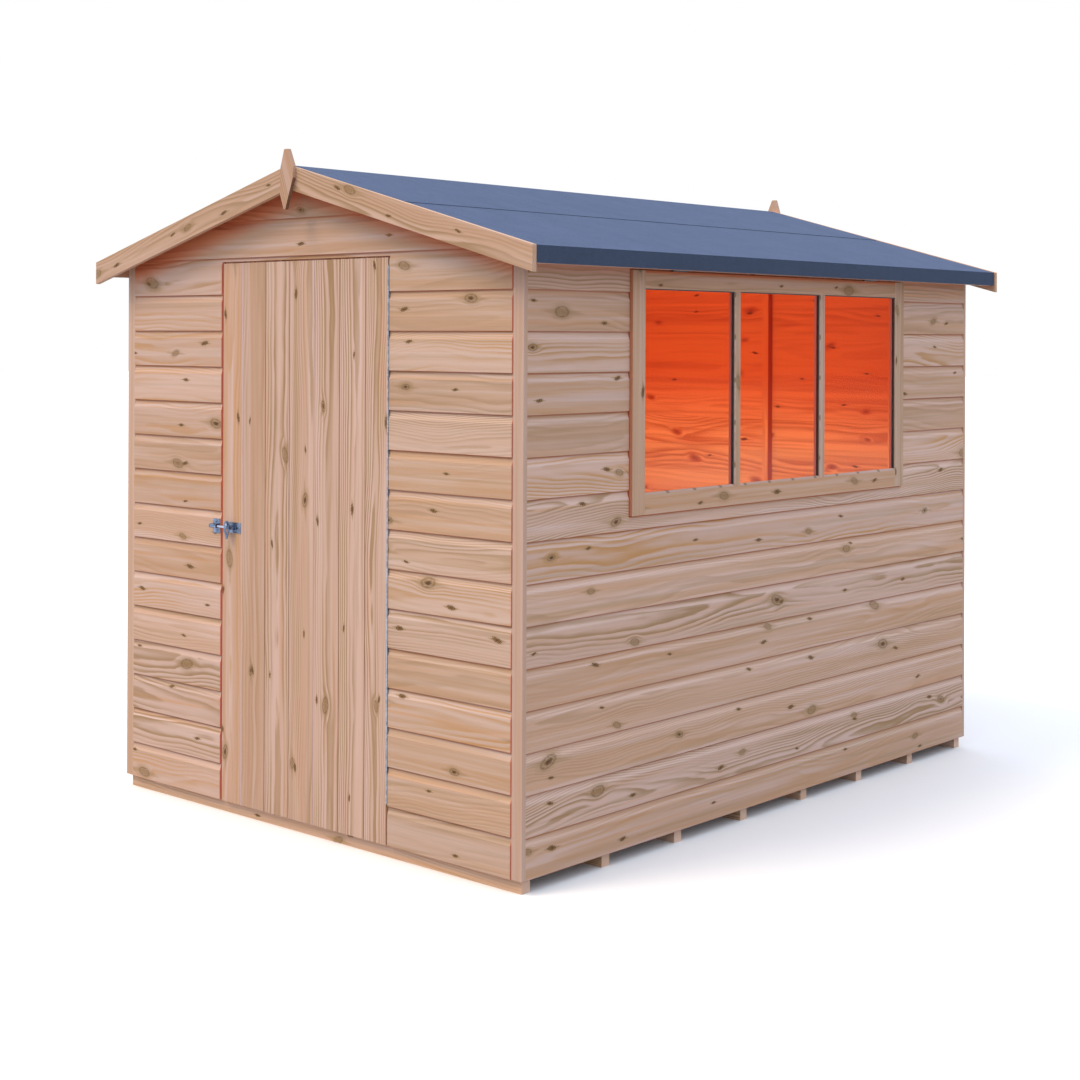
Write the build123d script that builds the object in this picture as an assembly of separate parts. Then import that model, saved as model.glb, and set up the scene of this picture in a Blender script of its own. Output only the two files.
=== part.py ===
from build123d import *
from math import cos, radians, sin, tan
import os

# Garden shed with an apex roof. Millimetres, +Z up, the front with its door faces -Y and the
# window looks along +X. The origin is on the ground, under the middle of the shed.

# Walls
shed_width = 1790.0
shed_length = 2430.0
side_wall_height = 1719.3
board_thickness = 12.0
board_pitch = 114.0
cove_height = 24.0
cove_depth = 5.0
cove_lip = 5.0
cove_hollow = 1.0
stud_depth = 28.0
stud_width = 28.0
strip_thickness = 15.0
strip_setback = 3.0
strip_rounding = 2.0

# Floor
bearer_count = 8
bearer_width = 34.0
bearer_height = 44.0
deck_thickness = 12.0
deck_board_width = 112.0
deck_groove = 1.5
wall_drop = 17.0
deck_side_gap = 2.0
deck_front_gap = 6.0

# Roof
roof_pitch = 15.2
eave_overhang = 87.0
verge_overhang = 48.0
roof_board_thickness = 12.0
roof_board_width = 96.0
roof_board_groove = 1.5
felt_thickness = 2.5
eave_batten_width = 28.0
eave_face_height = 49.0
ridge_felt_reach = 482.0
purlin_offset = 450.0
purlin_width = 34.0
purlin_height = 45.0
rafter_depth = 45.0
post_width = 45.0

# Barge boards and finials
barge_thickness = 16.0
barge_depth = 72.0
barge_overrun = 3.0
finial_height = 180.0
finial_width = 58.0
finial_thickness = 12.0
finial_rise = 46.5
finial_shift = 7.0
finial_top_width = 17.0
finial_foot_width = 7.0
finial_top_lean = 2.5
finial_foot_lean = 8.5
finial_left_shoulder = 59.0
finial_left_side = 75.0
finial_right_shoulder = 52.0
finial_right_side = 35.0

# Doorway and door
opening_left = -395.0
opening_right = 373.5
door_latch_gap = 11.0
door_hinge_gap = 6.0
door_top_gap = 5.0
door_head_drop = 20.8
door_thickness = 12.0
door_board_width = 113.0
door_groove = 2.0
ledge_height = 70.0
ledge_thickness = 20.0
ledge_margin = 6.0
ledge_foot = 180.0
ledge_head = 133.5
brace_width = 80.0
stop_width = 20.0
stop_gap = 5.0
stop_joint = 1.0
header_height = 45.0

# Door hinge, one long strip with many knuckles
hinge_start = 120.0
hinge_end = 23.5
hinge_knuckles = 20
knuckle_radius = 2.6
knuckle_gap = 0.5
knuckle_forward = 1.0
hinge_pin_radius = 1.2
hinge_pin_clearance = 0.1
leaf_thickness = 1.0
leaf_setback = 1.5

# Door bolt
bolt_height = 864.0
bolt_radius = 3.5
bolt_clearance = 0.4
bolt_standoff = 8.0
bolt_tip = -400.0
bolt_length = 75.0
bolt_sheet = 1.5
guide_wall = 3.0
keeper_barrel_left = -437.0
keeper_barrel_length = 33.0
keeper_plate_left = -431.5
keeper_plate_width = 35.0
keeper_plate_height = 45.0
keeper_screw_inset = 7.0
bolt_plate_left = -352.0
bolt_plate_width = 57.5
bolt_plate_height = 33.0
plate_screw_inset = 17.5
guide_inset = 6.0
guide_length = 22.0
collar_gap = 3.0
collar_length = 7.0
collar_wall = 1.5
hasp_centre = -342.0
hasp_gap = 2.5
hasp_thickness = 2.0
hasp_head_radius = 12.0
hasp_head_rise = 10.0
hasp_shoulder_width = 28.0
hasp_shoulder_drop = 5.0
hasp_tip_width = 5.0
hasp_drop = 35.5
hasp_slot_width = 7.0
hasp_slot_height = 13.0
hasp_slot_drop = 15.0
hasp_rivet_radius = 5.0
hasp_rivet_rise = 2.0
screw_hole_radius = 2.5

# Window
window_centre = -4.0
sash_width = 1508.0
sash_height = 708.0
sash_drop = 59.3
sash_gap = 2.0
sash_proud = 10.0
sash_seat = 20.0
stile_width = 58.0
top_rail_height = 52.0
bottom_rail_height = 57.0
mullion_width = 33.0
mullion_setback = 2.0
glass_thickness = 3.0
glass_depth = 10.0
window_hinge_offset = 530.0
window_hinge_length = 76.0
window_hinge_radius = 4.5

# Inner studs, measured from the middle of each wall
side_stud_offset = 400.0
rear_stud_offset = 28.0
mid_rail_height = 800.0

half_width = shed_width / 2
half_length = shed_length / 2
deck_top = bearer_height + deck_thickness
wall_bottom = deck_top - wall_drop
wall_thickness = board_thickness + stud_depth
slope = tan(radians(roof_pitch))
plumb = 1 / cos(radians(roof_pitch))
roof_stack = (felt_thickness + roof_board_thickness) * plumb
wall_top = wall_bottom + side_wall_height
soffit_ridge = wall_top + slope * half_width
ridge_height = soffit_ridge + roof_stack
eave_half_width = half_width + eave_overhang
inner_half_width = half_width - wall_thickness
side_wall_front = strip_setback + strip_thickness
side_wall_half_length = half_length - side_wall_front
frame_face = half_length - board_thickness
frame_back = half_length - wall_thickness
door_left = opening_left + door_latch_gap
door_right = opening_right - door_hinge_gap
door_bottom = wall_bottom
opening_top = wall_top - door_head_drop
door_top = opening_top - door_top_gap
door_height = door_top - door_bottom
door_face = -half_length

parts = {}


def bar(x0, x1, y0, y1, z0, z1):
    """A plain rectangular length of timber or sheet, given by its two corners."""
    centre = ((x0 + x1) / 2, (y0 + y1) / 2, (z0 + z1) / 2)
    return Pos(*centre) * Box(x1 - x0, y1 - y0, z1 - z0)


def prism_xz(points, y0, y1):
    """An outline in X and Z, carried along Y from y0 to y1."""
    face = make_face(Polyline(*[(x, z) for x, z in points], close=True))
    return Pos(0, y1, 0) * (Plane.XZ * extrude(face, amount=y1 - y0))


def roof_line(x, ridge):
    """Height at x of a plane that falls both ways from a ridge."""
    return ridge - slope * abs(x)


def under_soffit(reach):
    """All the space below the underside of the roof boards."""
    low = roof_line(reach, soffit_ridge)
    outline = [(-reach, low), (0, soffit_ridge), (reach, low), (reach, -reach), (-reach, -reach)]
    return prism_xz(outline, -reach, reach)


def seated(solid):
    """A wall piece with its top cut to the slope of the roof."""
    return solid & soffit_space


def shiplap(width, low, high):
    """Shiplap boards facing -Y. Every wall's boards start at the foot of the walls."""
    edges = []
    rows = int((high - wall_bottom) / board_pitch) + 1
    here = (0.0, 0.0)
    for row in range(rows):
        foot = row * board_pitch
        shoulder = foot + board_pitch - cove_height
        head = foot + board_pitch
        lip = head - cove_lip
        edges.append(Line(here, (0, shoulder)))
        edges.append(SagittaArc((0, shoulder), (cove_depth, lip), -cove_hollow))
        edges.append(Line((cove_depth, lip), (cove_depth, head)))
        here = (cove_depth, head)
        if row < rows - 1:
            edges.append(Line(here, (0, head)))
            here = (0, head)
    top = rows * board_pitch
    edges.append(Line(here, (board_thickness, top)))
    edges.append(Line((board_thickness, top), (board_thickness, 0)))
    edges.append(Line((board_thickness, 0), (0, 0)))
    profile = Plane.YZ * make_face(edges)
    sheet = Pos(-width / 2, 0, wall_bottom) * extrude(profile, amount=width)
    keep = bar(-width, width, -board_thickness, 2 * board_thickness, low, high)
    return sheet & keep


def grooved(width, depth, thickness, pitch, groove):
    """Tongue and groove boards laid along Y, with a small V between them on the upper face."""
    slab = bar(-width / 2, width / 2, -depth / 2, depth / 2, -thickness, 0)
    count = int(width / pitch)
    first = -(count - 1) * pitch / 2
    cutters = []
    for index in range(count):
        x = first + index * pitch
        vee = make_face(Polyline((x - groove, 1), (x, -groove), (x + groove, 1), close=True))
        cutters.append(Pos(0, depth, 0) * (Plane.XZ * extrude(vee, amount=2 * depth)))
    return slab - cutters


def tube_x(radius, x0, x1, y, z):
    """A round bar along X."""
    return Pos((x0 + x1) / 2, y, z) * Rot(0, 90, 0) * Cylinder(radius, x1 - x0)


def tube_y(radius, x, y0, y1, z):
    """A round bar along Y."""
    return Pos(x, (y0 + y1) / 2, z) * Rot(90, 0, 0) * Cylinder(radius, y1 - y0)


soffit_space = under_soffit(shed_length)
roof_top = ridge_height + finial_height


# Floor: bearers across the width, boards laid along the length
deck_half_width = half_width - board_thickness - deck_side_gap
deck_half_length = half_length - door_thickness - deck_front_gap
bearer_step = (2 * deck_half_length - bearer_width) / (bearer_count - 1)
bearers = []
for index in range(bearer_count):
    y = -deck_half_length + index * bearer_step
    bearers.append(bar(-deck_half_width, deck_half_width, y, y + bearer_width, 0, bearer_height))
parts["floor_bearers"] = bearers
parts["floor_boards"] = [
    Pos(0, 0, deck_top)
    * grooved(
        2 * deck_half_width, 2 * deck_half_length, deck_thickness, deck_board_width, deck_groove
    )
]


# Front wall: boards each side of the doorway and the gable over it
def front_boards(x0, x1, low, high):
    sheet = Pos(0, -half_length, 0) * shiplap(2 * inner_half_width, low, high)
    return seated(sheet & bar(x0, x1, -shed_length, 0, 0, roof_top))


parts["front_boards_left"] = [front_boards(-inner_half_width, opening_left, wall_bottom, opening_top)]
parts["front_boards_right"] = [front_boards(opening_right, inner_half_width, wall_bottom, opening_top)]
parts["front_boards_gable"] = [
    front_boards(-inner_half_width, inner_half_width, opening_top, soffit_ridge)
]

# Rear wall and the closed side wall
rear_sheet = shiplap(2 * inner_half_width, wall_bottom, soffit_ridge)
parts["rear_boards"] = [seated(Pos(0, half_length, 0) * Rot(0, 0, 180) * rear_sheet)]
side_sheet = shiplap(2 * side_wall_half_length, wall_bottom, ridge_height)
parts["left_boards"] = [seated(Pos(-half_width, 0, 0) * Rot(0, 0, -90) * side_sheet)]

# Window side wall, in four panels round the window
sash_high = wall_top - sash_drop
sash_low = sash_high - sash_height
sash_front = window_centre - sash_width / 2
sash_rear = window_centre + sash_width / 2
hole_low = sash_low - sash_gap
hole_high = sash_high + sash_gap
hole_front = sash_front - sash_gap
hole_rear = sash_rear + sash_gap
right_sheet = seated(Pos(half_width, 0, 0) * Rot(0, 0, 90) * side_sheet)


def right_panel(y0, y1, z0, z1):
    return right_sheet & bar(0, shed_width, y0, y1, z0, z1)


parts["right_boards_lower"] = [right_panel(-half_length, half_length, 0, hole_low)]
parts["right_boards_front"] = [right_panel(-half_length, hole_front, hole_low, hole_high)]
parts["right_boards_rear"] = [right_panel(hole_rear, half_length, hole_low, hole_high)]
parts["right_boards_upper"] = [right_panel(-half_length, half_length, hole_high, roof_top)]

# Corner strips cover the ends of the side walls
strips = []
for side in (-1, 1):
    for end in (-1, 1):
        x0, x1 = sorted((side * inner_half_width, side * half_width))
        y0, y1 = sorted((end * (half_length - strip_setback), end * side_wall_half_length))
        strip = bar(x0, x1, y0, y1, wall_bottom, roof_top)
        outer = strip.edges().filter_by(Axis.Z).sort_by(Axis.Y)
        outer = outer[:2] if end < 0 else outer[-2:]
        strips.append(seated(fillet(outer, strip_rounding)))
parts["corner_strips"] = strips

# Frames: studs stand between rails, and rafters carry the roof at both ends
rafter_drop = rafter_depth * plumb
rafter_line = soffit_ridge - rafter_drop
rail_top = deck_top + stud_width
mid_low = wall_bottom + mid_rail_height
mid_high = mid_low + stud_width


def under_rafters(solid):
    low = roof_line(shed_width, rafter_line)
    outline = [(-shed_width, low), (0, rafter_line), (shed_width, low), (shed_width, 0), (-shed_width, 0)]
    return solid & prism_xz(outline, -shed_length, shed_length)


def rafters(y0, y1):
    pair = []
    for side in (-1, 1):
        inner = side * post_width / 2
        outer = side * inner_half_width
        outline = [
            (inner, roof_line(inner, soffit_ridge)),
            (outer, roof_line(outer, soffit_ridge)),
            (outer, roof_line(outer, rafter_line)),
            (inner, roof_line(inner, rafter_line)),
        ]
        pair.append(prism_xz(outline, y0, y1))
    return pair


front_y = (-frame_face, -frame_back)
rear_y = (frame_back, frame_face)
corner_studs = [
    (-inner_half_width, -inner_half_width + stud_width),
    (inner_half_width - stud_width, inner_half_width),
]
door_studs = [(opening_left - stud_width, opening_left), (opening_right, opening_right + stud_width)]
header_top = opening_top + header_height
front_studs = []
for x0, x1 in corner_studs + door_studs:
    front_studs.append(under_rafters(bar(x0, x1, *front_y, deck_top, ridge_height)))
front_studs.append(seated(bar(-post_width / 2, post_width / 2, *front_y, header_top, ridge_height)))
parts["front_studs"] = front_studs
front_rails = [bar(opening_left, opening_right, *front_y, opening_top, header_top)]
for x0, x1 in ((corner_studs[0][1], door_studs[0][0]), (door_studs[1][1], corner_studs[1][0])):
    front_rails.append(bar(x0, x1, *front_y, deck_top, rail_top))
    front_rails.append(bar(x0, x1, *front_y, mid_low, mid_high))
parts["front_rails"] = front_rails
parts["front_rafters"] = rafters(*front_y)

rear_inner = (rear_stud_offset - stud_width / 2, rear_stud_offset + stud_width / 2)
rear_spans = [(corner_studs[0][1], rear_inner[0]), (rear_inner[1], corner_studs[1][0])]
rear_studs = []
for x0, x1 in corner_studs:
    rear_studs.append(under_rafters(bar(x0, x1, *rear_y, deck_top, ridge_height)))
rear_studs.append(bar(*rear_inner, *rear_y, deck_top, opening_top))
rear_studs.append(seated(bar(-post_width / 2, post_width / 2, *rear_y, header_top, ridge_height)))
parts["rear_studs"] = rear_studs
rear_rails = []
for x0, x1 in rear_spans:
    rear_rails.append(bar(x0, x1, *rear_y, deck_top, rail_top))
    rear_rails.append(bar(x0, x1, *rear_y, mid_low, mid_high))
tie = bar(corner_studs[0][1], corner_studs[1][0], *rear_y, opening_top, header_top)
rear_rails.append(under_rafters(tie))
parts["rear_rails"] = rear_rails
parts["rear_rafters"] = rafters(*rear_y)

# Side frames. The plate along the top also heads the window.
plate_low = sash_high - sash_seat
sill_high = sash_low + sash_seat
sill_low = sill_high - stud_width
window_studs = [
    (sash_front + sash_seat - stud_width, sash_front + sash_seat),
    (sash_rear - sash_seat, sash_rear - sash_seat + stud_width),
]
side_ends = [
    (-side_wall_half_length, -side_wall_half_length + stud_width),
    (side_wall_half_length - stud_width, side_wall_half_length),
]


def side_bar(side, y0, y1, z0, z1):
    x0, x1 = sorted((side * inner_half_width, side * (half_width - board_thickness)))
    return seated(bar(x0, x1, y0, y1, z0, z1))


def side_rails(side):
    low = side_bar(side, -side_wall_half_length, side_wall_half_length, deck_top, rail_top)
    high = side_bar(side, -side_wall_half_length, side_wall_half_length, plate_low, ridge_height)
    return [low, high]


left_inner = [
    (-side_stud_offset - stud_width, -side_stud_offset),
    (side_stud_offset, side_stud_offset + stud_width),
]
left_studs = []
for y0, y1 in side_ends + left_inner:
    left_studs.append(side_bar(-1, y0, y1, rail_top, plate_low))
parts["left_studs"] = left_studs
left_rails = side_rails(-1)
left_rails.append(side_bar(-1, side_ends[0][1], left_inner[0][0], mid_low, mid_high))
left_rails.append(side_bar(-1, left_inner[0][1], left_inner[1][0], mid_low, mid_high))
left_rails.append(side_bar(-1, left_inner[1][1], side_ends[1][0], mid_low, mid_high))
parts["left_rails"] = left_rails

right_studs = []
for y0, y1 in side_ends + window_studs:
    right_studs.append(side_bar(1, y0, y1, rail_top, plate_low))
for y in (window_centre - sash_width / 6, window_centre + sash_width / 6):
    right_studs.append(side_bar(1, y - stud_width / 2, y + stud_width / 2, rail_top, sill_low))
parts["right_studs"] = right_studs
right_rails = side_rails(1)
right_rails.append(side_bar(1, side_ends[0][1], window_studs[0][0], mid_low, mid_high))
right_rails.append(side_bar(1, window_studs[0][1], window_studs[1][0], sill_low, sill_high))
right_rails.append(side_bar(1, window_studs[1][1], side_ends[1][0], mid_low, mid_high))
parts["right_rails"] = right_rails

# Roof boards run down each slope, over battens, purlins and a ridge board
verge = half_length + verge_overhang
board_reach = eave_half_width - felt_thickness
board_ridge = ridge_height - felt_thickness * plumb


def slope_sheet(side, inner, outer, ridge, thickness, y0, y1):
    """A flat sheet on one slope, with plumb cuts at its upper and lower edges."""
    drop = thickness * plumb
    x0 = side * inner
    x1 = side * outer
    outline = [
        (x0, roof_line(x0, ridge)),
        (x1, roof_line(x1, ridge)),
        (x1, roof_line(x1, ridge) - drop),
        (x0, roof_line(x0, ridge) - drop),
    ]
    return prism_xz(outline, y0, y1)


def roof_boards(side):
    sheet = slope_sheet(side, 0, board_reach, board_ridge, roof_board_thickness, -verge, verge)
    cutters = []
    count = int(2 * verge / roof_board_width)
    first = -(count - 1) * roof_board_width / 2
    for index in range(count):
        y = first + index * roof_board_width
        vee = make_face(
            Polyline(
                (y - roof_board_groove, -1), (y, roof_board_groove), (y + roof_board_groove, -1),
                close=True,
            )
        )
        cutter = Plane.YZ * extrude(vee, amount=2 * eave_half_width)
        cutters.append(Pos(-eave_half_width, 0, 0) * cutter)
    tilt = Pos(0, 0, soffit_ridge) * Rot(0, side * roof_pitch, 0)
    return sheet - [tilt * cutter for cutter in cutters]


parts["roof_boards_left"] = [roof_boards(-1)]
parts["roof_boards_right"] = [roof_boards(1)]

eave_bottom = roof_line(eave_half_width, ridge_height) - eave_face_height
battens = []
for side in (-1, 1):
    x0, x1 = sorted((side * (board_reach - eave_batten_width), side * board_reach))
    battens.append(seated(bar(x0, x1, -verge, verge, eave_bottom, ridge_height)))
parts["roof_eave_battens"] = battens

purlins = []
for side in (-1, 1):
    x0, x1 = sorted((side * purlin_offset, side * (purlin_offset + purlin_width)))
    low = roof_line(purlin_offset, soffit_ridge) - purlin_height
    purlins.append(seated(bar(x0, x1, -frame_back, frame_back, low, ridge_height)))
parts["roof_purlins"] = purlins
ridge_low = soffit_ridge - 1.5 * purlin_height
parts["roof_ridge_board"] = [
    seated(bar(-purlin_width / 2, purlin_width / 2, -frame_back, frame_back, ridge_low, ridge_height))
]

# Felt: one strip down each side, turned down over the eave, and one over the ridge
felt_layer = felt_thickness / 2
felt_lap = felt_layer * plumb


def felt(side):
    lower = slope_sheet(side, 0, eave_half_width, ridge_height - felt_lap, felt_layer, -verge, verge)
    x0, x1 = sorted((side * board_reach, side * eave_half_width))
    face = bar(x0, x1, -verge, verge, eave_bottom, roof_line(eave_half_width, ridge_height) - felt_lap)
    return lower + face


parts["roof_felt_left"] = [felt(-1)]
parts["roof_felt_right"] = [felt(1)]
ridge_strip = slope_sheet(-1, 0, ridge_felt_reach, ridge_height, felt_layer, -verge, verge)
ridge_strip += slope_sheet(1, 0, ridge_felt_reach, ridge_height, felt_layer, -verge, verge)
parts["roof_felt_ridge"] = [ridge_strip]

# Barge boards close the ends of the roof, with a diamond finial over each joint
barge_reach = eave_half_width + barge_overrun


def barge(side, y0, y1):
    outer = side * barge_reach
    outline = [
        (0, ridge_height),
        (outer, roof_line(outer, ridge_height)),
        (outer, roof_line(outer, ridge_height) - barge_depth),
        (0, ridge_height - barge_depth),
    ]
    return prism_xz(outline, y0, y1)


def finial(y0, y1):
    """A diamond with one side longer than the other, and blunt tips off its middle."""
    top = ridge_height + finial_rise
    foot = top - finial_height
    left = finial_shift - finial_width / 2
    right = finial_shift + finial_width / 2
    top_middle = finial_shift - finial_top_lean
    foot_middle = finial_shift - finial_foot_lean
    left_high = top - finial_left_shoulder
    right_high = top - finial_right_shoulder
    outline = [
        (top_middle - finial_top_width / 2, top),
        (top_middle + finial_top_width / 2, top),
        (right, right_high),
        (right, right_high - finial_right_side),
        (foot_middle + finial_foot_width / 2, foot),
        (foot_middle - finial_foot_width / 2, foot),
        (left, left_high - finial_left_side),
        (left, left_high),
    ]
    return prism_xz(outline, y0, y1)


barge_face = verge + barge_thickness
finial_face = barge_face + finial_thickness
parts["barge_front_left"] = [barge(-1, -barge_face, -verge)]
parts["barge_front_right"] = [barge(1, -barge_face, -verge)]
parts["barge_rear_left"] = [barge(-1, verge, barge_face)]
parts["barge_rear_right"] = [barge(1, verge, barge_face)]
front_finial = finial(-finial_face, -barge_face)
parts["finial_front"] = [front_finial]
parts["finial_rear"] = [Rot(0, 0, 180) * front_finial]

# Window: a sash seated on the frame behind it, two mullions and three panes
sash_face = half_width + sash_proud
sash_back = half_width - board_thickness
pane_low = sash_low + bottom_rail_height
pane_high = sash_high - top_rail_height
glazed_front = sash_front + stile_width
glazed_rear = sash_rear - stile_width
pane_width = (glazed_rear - glazed_front - 2 * mullion_width) / 3
parts["window_stiles"] = [
    bar(sash_back, sash_face, sash_front, glazed_front, sash_low, sash_high),
    bar(sash_back, sash_face, glazed_rear, sash_rear, sash_low, sash_high),
]
parts["window_rails"] = [
    bar(sash_back, sash_face, glazed_front, glazed_rear, sash_low, pane_low),
    bar(sash_back, sash_face, glazed_front, glazed_rear, pane_high, sash_high),
]
mullions = []
panes = []
glass_face = sash_face - glass_depth
for index in range(3):
    y = glazed_front + index * (pane_width + mullion_width)
    panes.append(bar(glass_face - glass_thickness, glass_face, y, y + pane_width, pane_low, pane_high))
    if index < 2:
        y0 = y + pane_width
        face = sash_face - mullion_setback
        mullions.append(bar(sash_back, face, y0, y0 + mullion_width, pane_low, pane_high))
parts["window_mullions"] = mullions
parts["window_glass"] = panes
window_hinges = []
for side in (-1, 1):
    y = window_centre + side * window_hinge_offset
    y0 = y - window_hinge_length / 2
    y1 = y + window_hinge_length / 2
    z = sash_high + window_hinge_radius
    knuckle = tube_y(window_hinge_radius, sash_face, y0, y1, z)
    leaf = bar(half_width, sash_face, y0, y1, sash_high, sash_high + sash_gap)
    window_hinges.append(knuckle + leaf)
parts["window_hinges"] = window_hinges

# Doorway stops, which the door closes on
stop_front = -half_length + door_thickness + stop_gap
parts["door_stops"] = [
    bar(opening_left, opening_left + stop_width, stop_front, -frame_back, deck_top, opening_top),
    bar(opening_right - stop_width, opening_right, stop_front, -frame_back, deck_top, opening_top),
    bar(
        opening_left + stop_width + stop_joint, opening_right - stop_width - stop_joint,
        stop_front, -frame_back, opening_top - stop_width, opening_top,
    ),
]

# Door: upright boards on three ledges with two braces
door_width = door_right - door_left
door_centre = (door_left + door_right) / 2
door_sheet = grooved(door_width, door_height, door_thickness, door_board_width, door_groove)
door_back = door_face + door_thickness
parts["door_boards"] = [
    Pos(door_centre, door_face, (door_bottom + door_top) / 2) * Rot(90, 0, 0) * door_sheet
]
ledge_left = opening_left + stop_width + ledge_margin
ledge_right = opening_right - stop_width - ledge_margin
ledge_top = door_height - ledge_head
ledge_levels = [ledge_foot, (ledge_foot + ledge_top) / 2, ledge_top]
ledges = []
for level in ledge_levels:
    low = wall_bottom + level - ledge_height / 2
    ledges.append(
        bar(ledge_left, ledge_right, door_back, door_back + ledge_thickness, low, low + ledge_height)
    )
parts["door_ledges"] = ledges
braces = []
for lower, upper in zip(ledge_levels[:-1], ledge_levels[1:]):
    low = wall_bottom + lower + ledge_height / 2
    high = wall_bottom + upper - ledge_height / 2
    outline = [
        (ledge_right, low),
        (ledge_right - brace_width, low),
        (ledge_left, high),
        (ledge_left + brace_width, high),
    ]
    braces.append(prism_xz(outline, door_back, door_back + ledge_thickness))
parts["door_braces"] = braces

# Door hinge: knuckles take turns on one pin
hinge_x = opening_right - door_hinge_gap / 2
hinge_y = door_face - knuckle_forward
hinge_low = wall_bottom + hinge_start
hinge_length = door_height - hinge_start - hinge_end
knuckle_step = hinge_length / hinge_knuckles


def hinge_leaf(first, leaf_x0, leaf_x1):
    leaf = bar(leaf_x0, leaf_x1, door_face + leaf_setback, door_back, hinge_low, hinge_low + hinge_length)
    for index in range(first, hinge_knuckles, 2):
        z0 = hinge_low + index * knuckle_step + knuckle_gap / 2
        z1 = z0 + knuckle_step - knuckle_gap
        leaf += bar(leaf_x0, leaf_x1, hinge_y, door_back, z0, z1)
        leaf += Pos(hinge_x, hinge_y, (z0 + z1) / 2) * Cylinder(knuckle_radius, z1 - z0)
    return leaf


pin = Pos(hinge_x, hinge_y, hinge_low + hinge_length / 2) * Cylinder(hinge_pin_radius, hinge_length)
pin_space = Pos(hinge_x, hinge_y, hinge_low + hinge_length / 2) * Cylinder(
    hinge_pin_radius + hinge_pin_clearance, hinge_length + 1
)
parts["door_hinge_frame_leaf"] = [hinge_leaf(0, opening_right - leaf_thickness, opening_right) + pin]
parts["door_hinge_door_leaf"] = [hinge_leaf(1, door_right, door_right + leaf_thickness) - pin_space]

# Door bolt: a rod in a guide on the door, with a slotted hasp to move it, and a keeper on the wall
bolt_y = door_face - bolt_standoff
bolt_z = wall_bottom + bolt_height
guide_radius = bolt_radius + bolt_clearance + guide_wall
plate_face = door_face - bolt_sheet


def guide(x0, x1):
    """A saddle over the rod, standing on the plate."""
    saddle = tube_x(guide_radius, x0, x1, bolt_y, bolt_z)
    saddle += bar(x0, x1, bolt_y, plate_face, bolt_z - guide_radius, bolt_z + guide_radius)
    return saddle - tube_x(bolt_radius + bolt_clearance, x0 - 1, x1 + 1, bolt_y, bolt_z)


def screw_hole(x, z):
    return tube_y(screw_hole_radius, x, plate_face - 1, door_face + 1, z)


keeper_plate_right = keeper_plate_left + keeper_plate_width
keeper_half_height = keeper_plate_height / 2
keeper = bar(
    keeper_plate_left, keeper_plate_right, plate_face, door_face,
    bolt_z - keeper_half_height, bolt_z + keeper_half_height,
)
for side in (-1, 1):
    hole_z = bolt_z + side * (keeper_half_height - keeper_screw_inset)
    keeper -= screw_hole(keeper_plate_left + keeper_plate_width / 2, hole_z)
keeper_barrel_right = keeper_barrel_left + keeper_barrel_length
keeper += guide(keeper_plate_left, keeper_barrel_right)
nose = tube_x(guide_radius, keeper_barrel_left, keeper_plate_left, bolt_y, bolt_z)
nose -= tube_x(bolt_radius + bolt_clearance, keeper_barrel_left - 1, keeper_plate_left + 1, bolt_y, bolt_z)
parts["bolt_keeper"] = [keeper + nose]

bolt_plate_right = bolt_plate_left + bolt_plate_width
plate = bar(
    bolt_plate_left, bolt_plate_right, plate_face, door_face,
    bolt_z - bolt_plate_height / 2, bolt_z + bolt_plate_height / 2,
)
plate -= screw_hole(bolt_plate_right - plate_screw_inset, bolt_z)
guide_left = bolt_plate_left + guide_inset
plate += guide(guide_left, guide_left + guide_length)
parts["bolt_plate"] = [plate]

hasp_back = bolt_y - guide_radius - hasp_gap
hasp_face = hasp_back - hasp_thickness
hasp_head = bolt_z + hasp_head_rise
hasp_shoulder = bolt_z - hasp_shoulder_drop
hasp_low = bolt_z - hasp_drop
hasp = tube_y(hasp_head_radius, hasp_centre, hasp_face, hasp_back, hasp_head)
hasp += tube_y(hasp_rivet_radius, hasp_centre, hasp_face - hasp_rivet_rise, hasp_face, hasp_head)
hasp += prism_xz(
    [
        (hasp_centre - hasp_head_radius, hasp_head),
        (hasp_centre + hasp_head_radius, hasp_head),
        (hasp_centre + hasp_shoulder_width / 2, hasp_shoulder),
        (hasp_centre + hasp_tip_width / 2, hasp_low),
        (hasp_centre - hasp_tip_width / 2, hasp_low),
        (hasp_centre - hasp_shoulder_width / 2, hasp_shoulder),
    ],
    hasp_face, hasp_back,
)
slot_low = bolt_z - hasp_slot_drop
hasp -= bar(
    hasp_centre - hasp_slot_width / 2, hasp_centre + hasp_slot_width / 2,
    hasp_face - 1, hasp_back + 1, slot_low, slot_low + hasp_slot_height,
)
rod = tube_x(bolt_radius, bolt_tip, bolt_tip + bolt_length, bolt_y, bolt_z)
collar_right = guide_left - collar_gap
collar_left = collar_right - collar_length
collar = tube_x(bolt_radius + collar_wall, collar_left, collar_right, bolt_y, bolt_z)
collar += bar(collar_left, collar_right, hasp_back, bolt_y, bolt_z - bolt_radius, bolt_z + bolt_radius)
parts["bolt_rod"] = [rod + collar + hasp]

os.makedirs("parts", exist_ok=True)
for name, solids in parts.items():
    shape = solids[0] if len(solids) == 1 else Compound(solids)
    export_step(shape, f"parts/{name}.step")
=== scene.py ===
import math

import bmesh
import bpy
from mathutils import Matrix, Vector


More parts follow.
